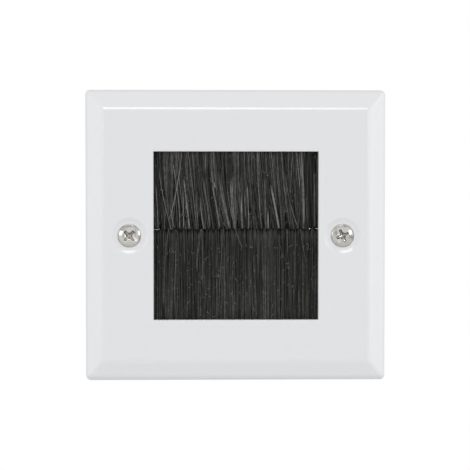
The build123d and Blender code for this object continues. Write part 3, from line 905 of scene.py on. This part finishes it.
# Painted spots of each head, painted shade over its reflections and painted highlights: across, up,
# reach across, reach up and share of painted shade, below nothing for a painted highlight
left_painted_spots = [
    (1.75, 0.9, 0.32, 1.0, 0.95),
    (1.35, -0.75, 0.35, 0.25, -1.3),
    (1.95, -1.2, 0.38, 0.28, -1.3),
    (-1.15, -0.05, 0.16, 0.34, -1.6),
    (-1.55, 0.0, 0.35, 0.7, 0.7),
    (-2.1, 0.47, 0.26, 0.3, 1.1),
    (-2.3, 1.55, 0.5, 0.3, 0.9),
    (0.2, 2.9, 2.0, 0.4, 1.1),
    (-1.2, 2.1, 0.8, 0.5, 0.45),
    (2.8, -0.3, 0.4, 0.8, 0.45),
    (0.2, -2.7, 1.8, 0.3, 0.2),
]
right_painted_spots = [
    (-1.85, 1.1, 0.3, 1.0, 1.0),
    (-0.9, 0.35, 0.26, 0.22, -1.8),
    (-1.0, -1.6, 0.4, 0.5, -0.6),
    (0.2, -0.4, 2.4, 2.0, 0.32),
    (2.5, -0.4, 0.7, 0.7, 0.5),
    (0.1, 2.9, 1.9, 0.4, 1.2),
    (0.63, -1.65, 0.4, 0.3, 1.0),
    (-2.8, 0.7, 0.4, 0.5, 0.9),
    (2.1, 0.15, 0.6, 0.3, 0.8),
    (2.1, -0.4, 0.6, 0.5, 0.5),
    (-1.3, -2.4, 0.6, 0.3, 0.45),
]
fixing_screws = [
    turned_screw(
        screw_profile, fixing_spokes, (side * screw_spread, 0.0), 1, fixing_recess,
        math.radians(turn), (0.0, screw_end + point_length, thread_pitch, thread_cut), painted_spots,
    )
    for side, turn, painted_spots in ((-1, 45.0, left_painted_spots), (1, 24.0, right_painted_spots))
]
join_screws(
    "cross_head_screws", "fixing_screws", fixing_screws, screw_nickel
)

# Stage: a pale floor well below the plate, soft light from above and around, and the camera.
floor_height = -0.25
floor_radius = 0.9
floor_corners = 96
fade_from = 0.35
fade_to = 0.78
floor_mesh = bpy.data.meshes.new("floor")
ring = np.linspace(0.0, 2.0 * np.pi, floor_corners + 1)[:-1]
flat_rim = np.full(floor_corners, floor_height)
rim = np.stack([floor_radius * np.cos(ring), floor_radius * np.sin(ring), flat_rim], axis=-1)
floor_mesh.from_pydata(rim.tolist(), [], [list(range(floor_corners))])
floor = bpy.data.objects.new("floor", floor_mesh)
bpy.context.scene.collection.objects.link(floor)
floor_paper, nodes, links, shader = new_material("pale_floor", 0.9)
shader.inputs["Base Color"].default_value = (0.87, 0.87, 0.87, 1.0)
clear = nodes.new("ShaderNodeBsdfTransparent")
blend = nodes.new("ShaderNodeMixShader")
place = nodes.new("ShaderNodeTexCoord")
reach = nodes.new("ShaderNodeVectorMath")
reach.operation = "LENGTH"
flat = nodes.new("ShaderNodeVectorMath")
flat.operation = "MULTIPLY"
flat.inputs[1].default_value = (1.0, 1.0, 0.0)
links.new(place.outputs["Object"], flat.inputs[0])
links.new(flat.outputs[0], reach.inputs[0])
fade = nodes.new("ShaderNodeMapRange")
fade.inputs["From Min"].default_value = fade_from
fade.inputs["From Max"].default_value = fade_to
links.new(reach.outputs["Value"], fade.inputs["Value"])
behind = nodes.new("ShaderNodeNewGeometry")
most = nodes.new("ShaderNodeMath")
most.operation = "MAXIMUM"
links.new(fade.outputs["Result"], most.inputs[0])
links.new(behind.outputs["Backfacing"], most.inputs[1])
links.new(most.outputs[0], blend.inputs["Fac"])
links.new(shader.outputs["BSDF"], blend.inputs[1])
links.new(clear.outputs["BSDF"], blend.inputs[2])
links.new(blend.outputs["Shader"], nodes["Material Output"].inputs["Surface"])
floor_mesh.materials.append(floor_paper)

world = bpy.data.worlds.new("studio")
bpy.context.scene.world = world
world.use_nodes = True
nodes = world.node_tree.nodes
links = world.node_tree.links
nodes.clear()
out = nodes.new("ShaderNodeOutputWorld")
white = nodes.new("ShaderNodeBackground")
white.inputs["Color"].default_value = (1.0, 1.0, 1.0, 1.0)
white.inputs["Strength"].default_value = 1.0
sky_level = 1.034
sky_slope = (0.0, 0.0, 0.078)
soft = nodes.new("ShaderNodeBackground")
place = nodes.new("ShaderNodeTexCoord")
along = nodes.new("ShaderNodeVectorMath")
along.operation = "DOT_PRODUCT"
along.inputs[1].default_value = sky_slope
level = nodes.new("ShaderNodeMath")
level.inputs[1].default_value = sky_level
links.new(place.outputs["Generated"], along.inputs[0])
links.new(along.outputs["Value"], level.inputs[0])
links.new(level.outputs[0], soft.inputs["Strength"])
seen = nodes.new("ShaderNodeLightPath")
shiny = nodes.new("ShaderNodeMath")
shiny.operation = "MAXIMUM"
either = nodes.new("ShaderNodeMath")
either.operation = "MAXIMUM"
links.new(seen.outputs["Is Camera Ray"], either.inputs[0])
links.new(seen.outputs["Is Glossy Ray"], shiny.inputs[0])
links.new(seen.outputs["Is Transmission Ray"], shiny.inputs[1])
links.new(shiny.outputs[0], either.inputs[1])
choose = nodes.new("ShaderNodeMixShader")
links.new(either.outputs[0], choose.inputs["Fac"])
links.new(soft.outputs["Background"], choose.inputs[1])
links.new(white.outputs["Background"], choose.inputs[2])
links.new(choose.outputs["Shader"], out.inputs["Surface"])


def add_lamp(name, place, aim, width, height, power):
    """A rectangular soft lamp at a place, turned to face a point."""
    lamp = bpy.data.lights.new(name, "AREA")
    lamp.shape = "RECTANGLE"
    lamp.size = width
    lamp.size_y = height
    lamp.energy = power
    holder = bpy.data.objects.new(name, lamp)
    holder.location = place
    holder.rotation_euler = (Vector(aim) - Vector(place)).to_track_quat("-Z", "Y").to_euler()
    bpy.context.scene.collection.objects.link(holder)
    return holder


strip = add_lamp("overhead_softbox", (-0.08, -0.345, 0.65), (0.0, 0.0, 0.0), 0.52, 0.34, 3.1)
strip.visible_diffuse = False
add_lamp("left_softbox", (-0.46, -0.52, 0.13), (0.0, 0.0, 0.0), 0.12, 0.20, 0.26)
add_lamp("right_softbox", (0.46, -0.52, 0.13), (0.0, 0.0, 0.0), 0.12, 0.20, 0.30)
add_lamp("left_panel", (-0.60, -0.06, 0.18), (0.0, 0.0, 0.0), 0.4, 0.6, 0.46)
add_lamp("right_panel", (0.60, -0.06, 0.18), (0.0, 0.0, 0.0), 0.4, 0.6, 0.64)

camera_data = bpy.data.cameras.new("camera")
camera_data.sensor_width = 36.0
camera_data.lens = 92.55
camera_data.shift_x = -0.0009
camera_data.clip_start = 0.01
camera = bpy.data.objects.new("camera", camera_data)
camera_turn = math.radians(-1.2)
camera_away = 0.350
camera_rise = math.radians(1.5)
camera.location = (
    camera_away * math.cos(camera_rise) * math.sin(camera_turn),
    -camera_away * math.cos(camera_rise) * math.cos(camera_turn),
    camera_away * math.sin(camera_rise),
)
camera.rotation_euler = (math.radians(90.0) - camera_rise, 0.0, camera_turn)
bpy.context.scene.collection.objects.link(camera)
bpy.context.scene.camera = camera
bpy.context.scene.view_settings.view_transform = "Standard"
